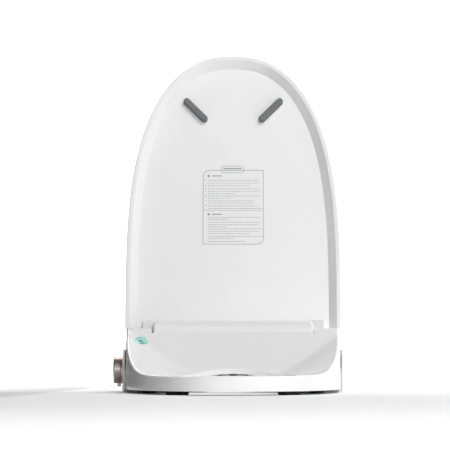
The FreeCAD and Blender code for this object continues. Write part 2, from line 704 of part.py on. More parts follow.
def build_body_cover():
    body = new_body("body_cover")
    low = [("-low_front", "split_top"), ("-deck_start", "deck_z"), ("body_rear", "deck_z"),
           ("body_rear", "split_top")]
    add_pad(body, "YZ_Plane", [low], "low_width", both_ways=True)
    hump = rectangle("-hump_front", "split_top", "hump_rear", "hump_top")
    add_pad(body, "YZ_Plane", [hump], "hump_width", both_ways=True)
    round_edges(body, "hump_round", lambda edge: runs_along(edge, X_AXIS)
                and middle(edge).z > 120 and middle(edge).y < 0)
    round_edges(body, "hump_rear_round", lambda edge: runs_along(edge, X_AXIS)
                and middle(edge).z > 120 and middle(edge).y > 0)
    round_edges(body, "hump_side_round", lambda edge: abs(abs(middle(edge).x) - dim("hump_half")) < 0.01
                and middle(edge).z > 97)
    low_in = [("-cover_front_in", "split_top"), ("-deck_start_in", "deck_in"), ("body_rear_in", "deck_in"),
              ("body_rear_in", "split_top")]
    add_pocket(body, "YZ_Plane", [low_in], "low_width_in", both_ways=True)
    hump_in = [("-hump_front_in", "split_top"), ("-hump_front_in", "hump_bend"),
               ("-hump_crown_in", "hump_top_in"), ("hump_crown_back", "hump_top_in"),
               ("hump_rear_in", "hump_bend"), ("hump_rear_in", "split_top")]
    add_pocket(body, "YZ_Plane", [hump_in], "hump_width_in", both_ways=True)
    # holes for the hinge shafts
    for side in ("", "-"):
        start = side + "hump_wall_start"
        add_pocket(body, "YZ_Plane", [("axis_y", "axis_z", "shaft_hole")], "side_cut", start,
                   flip=side == "")
    add_pocket(body, "YZ_Plane", [("-knob_back", "knob_z", "knob_hole")], "side_cut", "-low_outer_cut",
               flip=True)


def build_side_panels():
    for side, side_name in ((-1, "left"), (1, "right")):
        body = new_body(f"side_panel_{side_name}")
        start = "panel_inner" if side > 0 else "-panel_outer"
        face = rectangle("-low_front", "0", "body_rear", "panel_top")
        add_pad(body, "YZ_Plane", [face], "panel_thick", start)
        outer = dim("panel_outer")
        round_edges(body, "panel_round", lambda edge: abs(abs(middle(edge).x) - outer) < 0.01)
        if side > 0:
            holes = [rectangle("cassette_front", "cassette_low", "cassette_back", "cassette_high"),
                     rectangle("-button_front", "button_low", "-button_back", "button_high")]
            add_pocket(body, "YZ_Plane", holes, "panel_cut", "panel_inner_less", flip=True)
        else:
            add_pocket(body, "YZ_Plane", [("-knob_back", "knob_z", "knob_hole")], "panel_cut",
                       "-panel_outer_more", flip=True)


# ---------------------------------------------------------------- knob on the left panel
def build_knob():
    centre = Vector(-dim("panel_outer"), dim("knob_y"), dim("knob_z"))
    outward = Vector(-1, 0, 0)
    radius = dim("knob_radius")
    gap = 0.3
    bezel = ring(centre + outward * 0.05, outward, dim("knob_shaft_radius") + 1, radius, dim("knob_ring"))
    bezel = bezel.makeFillet(0.7, [edge for edge in bezel.Edges
                                   if edge.BoundBox.XMax < centre.x - 3 and edge.BoundBox.YLength > 40])
    feature("knob_bezel", bezel)
    # turning grip: cup with a thumb tab under it
    grip_start = centre + outward * (dim("knob_ring") + 0.55)
    grip_length = dim("knob_reach") - dim("knob_ring") - 0.55
    grip = rod(grip_start, outward, radius - 0.4, grip_length)
    front_edges = [edge for edge in grip.Edges if edge.BoundBox.XMax < centre.x - dim("knob_reach") + 0.1]
    grip = grip.makeFillet(2.2, front_edges)
    tab_low = centre.z - radius - 4.4
    tab = box(grip_start.x - 6.5, centre.y - 5, tab_low, grip_start.x, centre.y + 5, centre.z - 15)
    tab = tab.makeFillet(1.5, [edge for edge in tab.Edges if edge.BoundBox.ZMax < tab_low + 0.4])
    well = rod(grip_start + outward * 4, outward, 13 + gap, grip_length)
    grip = grip.fuse(tab).cut(well)
    shaft_from = Vector(-167, centre.y, centre.z)
    stem = rod(shaft_from, outward, dim("knob_shaft_radius"), shaft_from.x - grip_start.x + 1)
    feature("knob_grip", grip.fuse(stem).removeSplitter())
    cap = rod(grip_start + outward * 6, outward, 13, grip_length - 6.6)
    cap = cap.makeFillet(1.0, [edge for edge in cap.Edges
                               if edge.BoundBox.XMax < centre.x - dim("knob_reach") + 0.8])
    feature("knob_push_cap", cap)
    encoder = box(-172, centre.y - 10, centre.z - 10, -160, centre.y + 10, centre.z + 10)
    encoder = encoder.fuse(box(-160, centre.y - 11, centre.z - 12, -158.4, centre.y + 11, centre.z + 11))
    bore = rod(Vector(-180, centre.y, centre.z), X_AXIS, dim("knob_shaft_radius") + 0.05, 14)
    feature("knob_encoder", encoder.cut(bore))


# ---------------------------------------------------------------- washing nozzles
def nozzle_frame(side):
    """Placement at the nozzle's tip: local +Z runs out of the body along the nozzle."""
    tilt = dim("nozzle_tilt")
    origin = Vector(side * dim("nozzle_pitch") / 2, dim("nozzle_tip_y"), dim("nozzle_tip_z"))
    return Placement(origin, Rotation(X_AXIS, 90 + tilt))


def tooth(side, base, tip, base_width, tip_width):
    """Straight tooth from x = base to x = tip on one side, centred on the drive's plane."""
    half = dim("pinion_width") / 2
    corners = [(base, -base_width / 2), (tip, -tip_width / 2), (tip, tip_width / 2), (base, base_width / 2)]
    points = [Vector(side * across, -half, along) for across, along in corners]
    return Part.Face(Part.makePolygon(points + points[:1])).extrude(Vector(0, 2 * half, 0))


def build_nozzles():
    """Two nozzles, each with a rack on its outer side, a pinion and a small stepping motor."""
    for side, name in ((-1, "rear_wash"), (1, "front_wash")):
        build_nozzle(side, name, nozzle_frame(side))
    build_nozzle_cradle()


def build_nozzle(side, name, place):
    length = dim("nozzle_length")
    radius = dim("nozzle_radius")
    half_width = dim("pinion_width") / 2
    pitch_radius = dim("pinion_pitch")
    teeth = 10
    spacing = 2 * math.pi * pitch_radius / teeth
    rack_face = radius + 1.0
    tube = rod(Vector(0, 0, -length), Z_AXIS, radius, length)
    tube = tube.makeFillet(2.5, [edge for edge in tube.Edges if edge.BoundBox.ZMin > -0.01])
    tube = tube.cut(rod(Vector(0, 0, -length - 1), Z_AXIS, 2.5, length - 8))
    jets = (0, 3.0) if side < 0 else (-2.0, 1.5, 5.0)
    for jet in jets:
        tube = tube.cut(rod(Vector(0, 0, -9 - jet), Y_AXIS, 0.8, 20))
    # toothed rack moulded along the outer side
    inner, outer = sorted((side * (radius - 0.6), side * rack_face))
    rack = box(inner, -half_width, -length + 4, outer, half_width, -22)
    rack = rack.cut(rod(Vector(0, 0, -length - 1), Z_AXIS, radius - 0.5, length + 2))
    drive = -dim("drive_back")
    for index in range(-16, 6):
        along = drive + index * spacing
        if -length + 6 < along < -24:
            cog = tooth(side, rack_face - 0.2, rack_face + 1.5, 1.9, 1.0)
            cog.translate(Vector(0, 0, along))
            rack = rack.fuse(cog)
    feature(f"{name}_nozzle", tube.fuse(rack).removeSplitter(), place)
    # pinion beside the rack, with a gap between its teeth facing the rack
    centre = Vector(side * dim("drive_out"), 0, drive)
    wheel = rod(Vector(0, -half_width, 0), Y_AXIS, pitch_radius - 1.3, 2 * half_width)
    for index in range(teeth):
        cog = tooth(-side, pitch_radius - 2.0, pitch_radius + 0.7, 2.1, 0.9)
        cog.rotate(Vector(0, 0, 0), Y_AXIS, 360 * (index + 0.5) / teeth)
        wheel = wheel.fuse(cog)
    wheel = wheel.removeSplitter().fuse(rod(Vector(0, -16, 0), Y_AXIS, 1.5, 15))
    drive_place = place.multiply(Placement(centre, Rotation()))
    feature(f"{name}_pinion", wheel, drive_place)
    motor = rod(Vector(0, -26, 0), Y_AXIS, 9.5, 14).cut(rod(Vector(0, -17, 0), Y_AXIS, 1.8, 6))
    feature(f"{name}_motor", motor, drive_place)


def build_nozzle_cradle():
    """Sloping cradle with a guide for each nozzle, open above and at the sides for the racks."""
    length = dim("nozzle_length")
    radius = dim("nozzle_radius")
    pitch = dim("nozzle_pitch")
    half = pitch / 2 + radius + 2.5
    back = -length + 10
    cradle = box(-half, -radius - 3, back, half, -3.2, -12)
    cradle = cradle.fuse(box(-half + 4.5, -3.3, back, half - 4.5, 2, -12))
    for side in (-1, 1):
        cradle = cradle.cut(rod(Vector(side * pitch / 2, 0, -length), Z_AXIS, radius + 0.3, length + 40))
        cradle = cradle.cut(rod(Vector(side * (pitch / 2 + dim("drive_out")), -30, -dim("drive_back")),
                                Y_AXIS, dim("pinion_pitch") + 1.4, 40))
    legs = box(-half + 2, -radius - 14, back + 4, half - 2, -radius - 2.9, back + 10)
    cradle = cradle.fuse(legs).removeSplitter()
    feature("nozzle_cradle", cradle, nozzle_frame(0))
    # frame round the port in the front wall
    half = dim("port_half")
    low = dim("port_low")
    high = dim("port_high")
    front = -dim("low_front")
    outer = box(-half - 2.5, front - 1.6, low - 2.5, half + 2.5, front - 0.02, high + 0.9)
    hole = box(-half + 1.6, front - 5, low + 1.6, half - 1.6, front + 8, high - 1.6)
    feature("nozzle_port_frame", outer.cut(hole).removeSplitter())


# ---------------------------------------------------------------- warm air and deodoriser
def wheel_with_blades(hub_radius, tip_radius, height, blades, thickness, bore):
    """Flat backplate, hub and straight radial blades, about Z from 0 up."""
    plate = rod(Vector(0, 0, 0), Z_AXIS, tip_radius, 1.2)
    hub = rod(Vector(0, 0, 0), Z_AXIS, hub_radius, height)
    wheel = plate.fuse(hub)
    for index in range(blades):
        blade = box(tip_radius * 0.62, -thickness / 2, 0.6, tip_radius - 0.3, thickness / 2, height)
        blade.rotate(Vector(0, 0, 0), Z_AXIS, 360 * index / blades)
        wheel = wheel.fuse(blade)
    return wheel.cut(rod(Vector(0, 0, -1), Z_AXIS, bore, height + 2)).removeSplitter()


def build_dryer():
    centre = Vector(66, 14, 13)
    housing = rod(centre, Z_AXIS, 29, 26).fuse(box(58, -30, 13, 86, 0, 39))
    hollow = rod(centre + Z_AXIS * 2, Z_AXIS, 26.5, 22).fuse(box(60.5, -34, 15.5, 83.5, 0, 36.5))
    intake = rod(centre + Z_AXIS * 20, Z_AXIS, 13, 10)
    feature("dryer_fan_housing", housing.cut(hollow).cut(intake))
    impeller = wheel_with_blades(7, 23, 16, 16, 1.2, 2.05)
    impeller.translate(centre + Z_AXIS * 5)
    feature("dryer_impeller", impeller)
    motor = rod(centre + Z_AXIS * 30, Z_AXIS, 12, 22).fuse(rod(centre + Z_AXIS * 6, Z_AXIS, 1.95, 25))
    spider = box(centre.x - 27, centre.y - 3, centre.z + 26.2, centre.x + 27, centre.y + 3, centre.z + 30.5)
    feature("dryer_motor", motor.fuse(spider).removeSplitter())
    front = -dim("low_front")
    left, right = dim("outlet_left"), dim("outlet_right")
    low, high = dim("outlet_low"), dim("outlet_high")
    duct = box(left + 0.3, front + 6, low + 0.3, right - 0.3, -30.2, high - 0.3)
    duct = duct.cut(box(left + 2.3, front - 2, low + 2.3, right - 2.3, -20, high - 2.3))
    feature("dryer_duct", duct)
    heater = []
    for index in range(5):
        across = left + 6 + index * (right - left - 12) / 4
        heater.append(box(across - 0.4, -70, low + 2.4, across + 0.4, -42, high - 2.4))
    plate = box(left + 2.4, -58, (low + high) / 2 - 0.5, right - 2.4, -54, (low + high) / 2 + 0.5)
    for vane in heater:
        plate = plate.fuse(vane)
    feature("dryer_heater", plate.removeSplitter())
    flap = box(left + 0.6, front - 0.2, low + 0.8, right - 0.6, front + 1.6, high - 0.8)
    pin = rod(Vector(left + 0.2, front + 1.4, high - 2.2), X_AXIS, 1.2, right - left - 0.4)
    feature("dryer_flap", flap.fuse(pin).removeSplitter())


def build_deodoriser():
    front, back = dim("cassette_front"), dim("cassette_back")
    low, high = dim("cassette_low"), dim("cassette_high")
    gap = 0.5
    outer = dim("panel_outer") - 0.6
    frame = box(130, front + gap, low + gap, outer, back - gap, high - gap)
    window = box(134, front + 3, low - 1, outer - 6, back - 3, high + 1)
    grip = rod(Vector(outer, (front + back) / 2 - 9, (low + high) / 2), Y_AXIS, 3, 18)
    feature("filter_cassette", frame.cut(window).cut(grip))
    feature("carbon_filter", box(134.2, front + 3.2, low + 2, outer - 6.2, back - 3.2, high - 2))
    shell = box(98, front - 2, low - 2, 126, back + 2, high + 2)
    centre = Vector(100, (front + back) / 2, (low + high) / 2)
    hollow = rod(centre, X_AXIS, 11.5, 40)
    feature("deodoriser_fan_housing", shell.cut(hollow))
    wheel = wheel_with_blades(5, 10.5, 9, 11, 1.0, 1.05)
    wheel.rotate(Vector(0, 0, 0), Y_AXIS, 90)
    wheel.translate(centre + X_AXIS * 9)
    feature("deodoriser_impeller", wheel)
    hub = rod(centre + X_AXIS * 0.05, X_AXIS, 6, 7).fuse(rod(centre + X_AXIS, X_AXIS, 1.0, 16))
    feature("deodoriser_motor", hub)


# ---------------------------------------------------------------- water path
def pipe(points, radius, bend):
    """Tube of straight runs joined by arcs through the given corners."""
    edges = []
    start = points[0]
    for index in range(1, len(points) - 1):
        corner = points[index]
        before = (points[index - 1] - corner).normalize()
        after = (points[index + 1] - corner).normalize()
        half_turn = (math.pi - before.getAngle(after)) / 2
        cut = bend * math.tan(half_turn)
        first = corner + before * cut
        last = corner + after * cut
        bisector = (before + after).normalize()
        centre = corner + bisector * (bend / math.cos(half_turn))
        mid = centre - bisector * bend
        edges.append(Part.LineSegment(start, first).toShape())
        edges.append(Part.Arc(first, mid, last).toShape())
        start = last
    edges.append(Part.LineSegment(start, points[-1]).toShape())
    path = Part.Wire(edges)
    profile = Part.Wire(Part.makeCircle(radius, points[0], points[1] - points[0]))
    return path.makePipeShell([profile], True, False)


def build_water():
    inlet_x, inlet_z = -dim("inlet_x"), dim("inlet_z")
    rear = dim("body_rear")
    wall_in = dim("body_rear_in")
    nut = 10.48
    stub = 13.9
    port = rod(Vector(inlet_x, rear + 0.1, inlet_z), Y_AXIS, nut, stub)
    port = port.fuse(rod(Vector(inlet_x, wall_in - 3.1, inlet_z), Y_AXIS, 10, rear - wall_in + 4))
    port = port.cut(rod(Vector(inlet_x, wall_in - 10, inlet_z), Y_AXIS, 6, 40))
    flange = ring(Vector(inlet_x, wall_in - 3.1, inlet_z), Y_AXIS, 6, 12, 3)
    feature("water_inlet", port.fuse(flange).removeSplitter())
    mesh = rod(Vector(inlet_x, rear - 2, inlet_z), Y_AXIS, 5.95, 1.2)
    for row in range(-3, 4):
        for column in range(-3, 4):
            if row * row + column * column < 10:
                spot = Vector(inlet_x + 1.5 * column, rear - 3, inlet_z + 1.5 * row)
                mesh = mesh.cut(rod(spot, Y_AXIS, 0.5, 4))
    feature("inlet_strainer", mesh)
    valve = box(inlet_x - 14, 18, inlet_z - 12, inlet_x + 14, wall_in - 3.3, inlet_z + 12)
    coil = rod(Vector(inlet_x, 29, inlet_z + 12), Z_AXIS, 10, 22)
    feature("inlet_valve", valve.fuse(coil).removeSplitter())
    meter = cylinder("flow_sensor", Vector(inlet_x, -2, inlet_z), Y_AXIS, 9, 14)
    keep(meter, "flow_sensor")
    tank = block("water_heater", (-112, -42, 14), (86, 44, 38), 5)
    keep(tank, "water_heater")
    switcher = cylinder("water_distributor", Vector(-62, 12, 14), Z_AXIS, 15, 34)
    keep(switcher, "water_distributor")
    lower = rod(Vector(inlet_x, 12.1, inlet_z), Y_AXIS, 4, 5.8)
    middle_run = rod(Vector(inlet_x, -19.9, inlet_z), Y_AXIS, 4, 17.8)
    upper = pipe([Vector(-100, -19.9, 34), Vector(-100, 12, 34), Vector(-77.1, 12, 34)], 4, 11)
    feature("water_hoses", Part.makeCompound([lower, middle_run, upper]))
    plug = rod(Vector(-dim("drain_x"), wall_in - 2, dim("drain_z")), Y_AXIS, dim("drain_hole") - 0.1, 5.1)
    head = rod(Vector(-dim("drain_x"), rear + 0.02, dim("drain_z")), Y_AXIS, dim("drain_hole") + 3, 3.5)
    slot = box(-dim("drain_x") - 6, rear + 1.8, dim("drain_z") - 0.8, -dim("drain_x") + 6, rear + 9,
               dim("drain_z") + 0.8)
    feature("drain_plug", plug.fuse(head).cut(slot))


# ---------------------------------------------------------------- electronics, cord entry, fasteners
def build_electronics():
    board = block("control_board", (0, 36.5, 52), (176, 1.6, 50))
    chips = [board]
    for index, (across, low, wide, tall, deep) in enumerate(((-60, 60, 16, 16, 3), (-30, 84, 26, 9, 6),
                                                            (38, 62, 18, 26, 12), (22, 88, 12, 10, 4))):
        chip = block(f"board_part_{index}", (across, 35.75 - deep / 2, low), (wide, deep, tall))
        chips.append(chip)
    keep(joined("control_board", chips), "control_board")
    keep(block("power_module", (115, -45, 12), (42, 50, 33), 3), "power_module")
    gland = Vector(dim("cord_x"), dim("body_rear_in") - 6, dim("cord_z"))
    sleeve = ring(gland, Y_AXIS, 3.6, dim("gland_hole") - 0.1, 9.05)
    flange = ring(gland + Y_AXIS * 9.05, Y_AXIS, 3.6, dim("gland_hole") + 3, 4)
    feature("cord_gland", sleeve.fuse(flange).removeSplitter())
    # self-tapping screws that close the casing from below
    screws = None
    for across in (-150, 150):
        for along in (-70, -10, 38):
            shank = rod(Vector(across, along, 1.4), Z_AXIS, 1.4, 5)
            head = rod(Vector(across, along, 0.2), Z_AXIS, 3.4, 1.7)
            screw = shank.fuse(head)
            screws = screw if screws is None else screws.fuse(screw)
    feature("casing_screws", screws)


def build_release():
    """Button flush with the right panel; pushing it in frees the body from the plate."""
    front, back = -dim("button_front"), -dim("button_back")
    low, high = dim("button_low"), dim("button_high")
    outer = dim("panel_outer")
    cap = box(outer - 12, front + 0.5, low + 0.5, outer - 0.3, back - 0.5, high - 0.5)
    cap = cap.makeFillet(0.8, [edge for edge in cap.Edges if edge.BoundBox.XMin > outer - 0.4])
    stem = box(158, (front + back) / 2 - 3, low + 2, outer - 11.9, (front + back) / 2 + 3, high - 2)
    feature("release_button", cap.fuse(stem).removeSplitter())


build_seat()
build_lid()
build_lid_arms()
build_hinges()
build_mounting_plate()
build_base_casing()
build_body_cover()
build_side_panels()
build_knob()
build_nozzles()
build_dryer()
build_deodoriser()
build_water()
build_electronics()
build_release()


def export_all():
    """Check every object, then write one STEP file per node."""
    doc.recompute()
    for obj in doc.Objects:
        if "Invalid" in obj.State or "Error" in obj.State:
            raise RuntimeError(f"{obj.Label} failed: {obj.State}")
    os.makedirs("parts", exist_ok=True)
    for name, obj in nodes.items():
        shape = obj.Shape
        if shape.isNull() or not shape.isValid() or not shape.Solids:
            raise RuntimeError(name + " has no valid solid")
        shape.exportStep(f"parts/{name}.step")
        extent = shape.optimalBoundingBox()
        print(f"{name:26s} {len(shape.Solids)} {shape.Volume / 1000:8.1f} cm3 "
              f"x {extent.XMin:7.1f} {extent.XMax:7.1f} y {extent.YMin:7.1f} {extent.YMax:7.1f} "
              f"z {extent.ZMin:7.1f} {extent.ZMax:7.1f}")


export_all()
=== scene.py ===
"""Looks of the electric bidet seat: materials, small trim, soft studio light and camera."""
import json
import math
import random
import bpy
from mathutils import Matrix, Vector


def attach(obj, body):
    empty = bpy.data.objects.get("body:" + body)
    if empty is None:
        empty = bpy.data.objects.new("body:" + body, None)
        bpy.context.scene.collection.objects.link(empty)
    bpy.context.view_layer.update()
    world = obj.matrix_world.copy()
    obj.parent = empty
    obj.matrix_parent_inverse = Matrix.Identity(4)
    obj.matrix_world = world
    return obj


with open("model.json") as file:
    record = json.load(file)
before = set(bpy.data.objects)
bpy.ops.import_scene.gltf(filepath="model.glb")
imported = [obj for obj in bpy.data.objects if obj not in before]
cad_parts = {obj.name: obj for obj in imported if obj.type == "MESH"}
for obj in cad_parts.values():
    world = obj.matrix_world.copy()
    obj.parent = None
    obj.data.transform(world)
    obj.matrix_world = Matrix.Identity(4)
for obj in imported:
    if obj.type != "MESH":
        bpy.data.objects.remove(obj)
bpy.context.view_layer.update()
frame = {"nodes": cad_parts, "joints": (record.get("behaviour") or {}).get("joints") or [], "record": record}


# ------------------------------------------------------------------ materials
class Shade:
    """A Principled material and the few node helpers that the materials below share."""

    def __init__(self, name, color, roughness, metallic=0.0, coat=0.0, ior=1.46):
        self.material = bpy.data.materials.new(name)
        self.material.use_nodes = True
        self.tree = self.material.node_tree
        self.shader = self.tree.nodes["Principled BSDF"]
        self.shader.inputs["Base Color"].default_value = (*color, 1.0)
        self.shader.inputs["Roughness"].default_value = roughness
        self.shader.inputs["Metallic"].default_value = metallic
        self.shader.inputs["Coat Weight"].default_value = coat
        self.shader.inputs["Coat Roughness"].default_value = 0.06
        self.shader.inputs["IOR"].default_value = ior
        self.coords = self.tree.nodes.new("ShaderNodeTexCoord").outputs["Object"]

    def noise(self, scale, detail=3.0, stretch=(1, 1, 1)):
        mapping = self.tree.nodes.new("ShaderNodeMapping")
        mapping.inputs["Scale"].default_value = stretch
        texture = self.tree.nodes.new("ShaderNodeTexNoise")
        texture.inputs["Scale"].default_value = scale
        texture.inputs["Detail"].default_value = detail
        self.tree.links.new(self.coords, mapping.inputs["Vector"])
        self.tree.links.new(mapping.outputs["Vector"], texture.inputs["Vector"])
        return texture.outputs["Fac"]

    def spread(self, source, low, high):
        node = self.tree.nodes.new("ShaderNodeMapRange")
        node.inputs["From Min"].default_value = 0.3
        node.inputs["From Max"].default_value = 0.7
        node.inputs["To Min"].default_value = low
        node.inputs["To Max"].default_value = high
        self.tree.links.new(source, node.inputs["Value"])
        return node.outputs["Result"]

    def vary_roughness(self, source, low, high):
        self.tree.links.new(self.spread(source, low, high), self.shader.inputs["Roughness"])

    def vary_color(self, source, first, second):
        mix = self.tree.nodes.new("ShaderNodeMix")
        mix.data_type = "RGBA"
        mix.inputs["A"].default_value = (*first, 1.0)
        mix.inputs["B"].default_value = (*second, 1.0)
        self.tree.links.new(self.spread(source, 0.0, 1.0), mix.inputs["Factor"])
        self.tree.links.new(mix.outputs["Result"], self.shader.inputs["Base Color"])

    def bump(self, source, height, strength=1.0):
        node = self.tree.nodes.new("ShaderNodeBump")
        node.inputs["Distance"].default_value = height
        node.inputs["Strength"].default_value = strength
        self.tree.links.new(source, node.inputs["Height"])
        self.tree.links.new(node.outputs["Normal"], self.shader.inputs["Normal"])


def gloss_white(name, color, roughness=0.16):
    """Polished moulded plastic with a faint waviness and tiny changes of gloss."""
    shade = Shade(name, color, roughness, coat=0.25)
    wave = shade.noise(9.0, 2.0)
    shade.vary_color(shade.noise(4.0, 2.0), color, tuple(part * 0.985 for part in color))
    shade.vary_roughness(shade.noise(55.0, 4.0), roughness * 0.85, roughness * 1.2)
    shade.bump(wave, 0.0004, 0.12)
    return shade.material


def satin_plastic(name, color, roughness=0.45, grain=900.0):
    """Fine spark-eroded grain of the hidden and inner mouldings."""
    shade = Shade(name, color, roughness)
    fine = shade.noise(grain, 2.0)
    shade.vary_color(shade.noise(30.0, 3.0), color, tuple(part * 0.94 for part in color))
    shade.vary_roughness(fine, roughness * 0.85, roughness * 1.15)
    shade.bump(fine, 0.00005, 0.5)
    return shade.material


def rubber(name, color):
    shade = Shade(name, color, 0.62)
    fine = shade.noise(1400.0, 3.0)
    shade.vary_color(shade.noise(120.0, 3.0), color, tuple(part * 0.82 for part in color))
    shade.vary_roughness(fine, 0.52, 0.75)
    shade.bump(fine, 0.00008, 0.6)
    return shade.material


def metal(name, color, roughness, stretch=(1, 1, 1), scale=400.0):
    shade = Shade(name, color, roughness, metallic=1.0)
    lines = shade.noise(scale, 3.0, stretch)
    shade.vary_color(lines, color, tuple(part * 0.88 for part in color))
    shade.vary_roughness(lines, roughness * 0.75, roughness * 1.3)
    shade.bump(lines, 0.00003, 0.4)
    return shade.material


MATERIALS = {
    "white_shell": gloss_white("white_shell", (0.86, 0.86, 0.86)),
    "white_inner": gloss_white("white_inner", (0.82, 0.82, 0.82), 0.3),
    "grey_rubber": rubber("grey_rubber", (0.16, 0.165, 0.17)),
    "black_rubber": rubber("black_rubber", (0.022, 0.022, 0.023)),
    "label_white": gloss_white("label_white", (0.83, 0.83, 0.83), 0.2),
    "mint": satin_plastic("mint", (0.50, 0.84, 0.76), 0.3),
    "steel": metal("steel", (0.60, 0.60, 0.61), 0.3, (1, 12, 1)),
    "dark_plastic": satin_plastic("dark_plastic", (0.045, 0.046, 0.05)),
    "grey_plastic": satin_plastic("grey_plastic", (0.30, 0.31, 0.33)),
    "rose_gold": metal("rose_gold", (0.86, 0.50, 0.42), 0.16, (30, 1, 1), 90.0),
    "knob_grey": metal("knob_grey", (0.42, 0.39, 0.385), 0.33, (60, 1, 1), 60.0),
    "brass": metal("brass", (0.72, 0.55, 0.28), 0.3),
    "board": satin_plastic("board", (0.02, 0.13, 0.05), 0.4),
    "foil": metal("foil", (0.72, 0.72, 0.74), 0.35),
    "carbon": rubber("carbon", (0.02, 0.02, 0.02)),
    "acetal": satin_plastic("acetal", (0.74, 0.73, 0.68), 0.35),
    "hose": rubber("hose", (0.42, 0.43, 0.43)),
    "ink": satin_plastic("ink", (0.20, 0.205, 0.21), 0.5),
    "ink_light": satin_plastic("ink_light", (0.46, 0.465, 0.47), 0.5),
    "teal": satin_plastic("teal", (0.05, 0.38, 0.33), 0.35),
}


def dress_cad_nodes():
    """Give every CAD node the material of its slot."""
    slots = {part["node"]: part["material_slot"] for part in frame["record"]["subparts"]}
    for node, obj in frame["nodes"].items():
        for slot in obj.material_slots:
            slot.material = MATERIALS[slots[node]]


# ------------------------------------------------------------------ printed marks
HINGE = next(joint for joint in frame["joints"] if joint["name"] == "lid_hinge")["pos_m"]
LID_LEAN = math.radians(8)
MM = 0.001


def lid_point(across, along, up):
    """World point from lid coordinates in mm: across, along from the hinge line, towards the person."""
    lean_cos = math.cos(LID_LEAN)
    lean_sin = math.sin(LID_LEAN)
    return (across * MM,
            HINGE[1] + (along * lean_sin - up * lean_cos) * MM,
            HINGE[2] + (along * lean_cos + up * lean_sin) * MM)


def rounded_outline(left, low, right, high, radii, steps=8):
    """Corner points of a rectangle, its corners rounded by (low left, low right, high right, high left)."""
    corners = ((left, low, 180), (right, low, 270), (right, high, 0), (left, high, 90))
    points = []
    for (x, y, start), radius in zip(corners, radii):
        centre_x = x + radius * (1 if x == left else -1)
        centre_y = y + radius * (1 if y == low else -1)
        for step in range(steps + 1):
            angle = math.radians(start + 90 * step / steps)
            points.append((centre_x + radius * math.cos(angle), centre_y + radius * math.sin(angle)))
    return points


class Print:
    """Thin raised ink on the lid: outlines, dashes and dots gathered in one mesh."""

    def __init__(self, place, low, high):
        self.place = place
        self.low = low
        self.high = high
        self.verts = []
        self.faces = []

    def add(self, points):
        """Filled flat shape with its side walls."""
        first = len(self.verts)
        count = len(points)
        for up in (self.low, self.high):
            self.verts += [self.place(x, y, up) for x, y in points]
        self.faces.append([first + count + i for i in range(count)])
        self.faces.append([first + i for i in reversed(range(count))])
        for i in range(count):
            j = (i + 1) % count
            self.faces.append([first + i, first + j, first + count + j, first + count + i])

    def add_ring(self, outer, inner):
        """Band between two outlines that have the same number of points."""
        first = len(self.verts)
        count = len(outer)
        for up in (self.low, self.high):
            self.verts += [self.place(x, y, up) for x, y in outer]
            self.verts += [self.place(x, y, up) for x, y in inner]
        for i in range(count):
            j = (i + 1) % count
            for a, b, c, d in ((2, 2, 3, 3), (0, 0, 2, 2), (3, 3, 1, 1)):
                self.faces.append([first + a * count + i, first + b * count + j,
                                   first + c * count + j, first + d * count + i])

    def dash(self, left, right, along, height, end=0.25):
        radius = min(end, height * 0.45, (right - left) * 0.45)
        self.add(rounded_outline(left, along - height / 2, right, along + height / 2, (radius,) * 4, 2))

    def dot(self, across, along, radius):
        self.add([(across + radius * math.cos(math.radians(15 * i)),
                   along + radius * math.sin(math.radians(15 * i))) for i in range(24)])

    def finish(self, name, material):
        mesh = bpy.data.meshes.new(name)
        mesh.from_pydata(self.verts, [], self.faces)
        mesh.materials.append(material)
        mesh.validate()
        obj = bpy.data.objects.new(name, mesh)
        bpy.context.collection.objects.link(obj)
        return obj


LABEL_HALF = 54.0
LABEL_LOW = 167.0
LABEL_HIGH = 302.0
LABEL_FACE = -32.58
LABEL_EDGE = 0.4
LABEL_CORNERS = (0.4, 12.0, 0.4, 12.0)
LINE = 0.75
INK_SUNK = 0.02
ROW_LEFT = -44.8
ROW_HEIGHT = 1.15
FIRST_SEED = 31
# height of each row along the lid and where it ends, in mm
ROWS = ((282.7, 47.5), (278.1, 44.0), (273.1, 29.5), (267.5, 48.0), (263.3, 46.0), (258.7, 5.0),
        (254.6, 51.5), (250.9, -5.0), (246.0, 37.0), (242.0, 35.5), (236.7, 45.0), (232.0, 51.5),
        (216.0, 51.5), (212.5, -7.0), (207.3, 49.0), (202.8, 44.5), (199.1, -10.5), (195.3, 50.0),
        (190.9, 46.0), (186.5, 30.0), (181.5, 51.5), (178.0, 1.5), (172.6, 21.5))


def ruled_row(ink, along, left, right, height, seed):
    """A row of short dashes of uneven length, like a block of very small print but with no letters."""
    dice = random.Random(seed)
    at = left
    while at < right - 1.0:
        length = min(dice.uniform(2.0, 7.5), right - at)
        ink.dash(at, at + length, along, height)
        at += length + dice.uniform(0.7, 1.1)


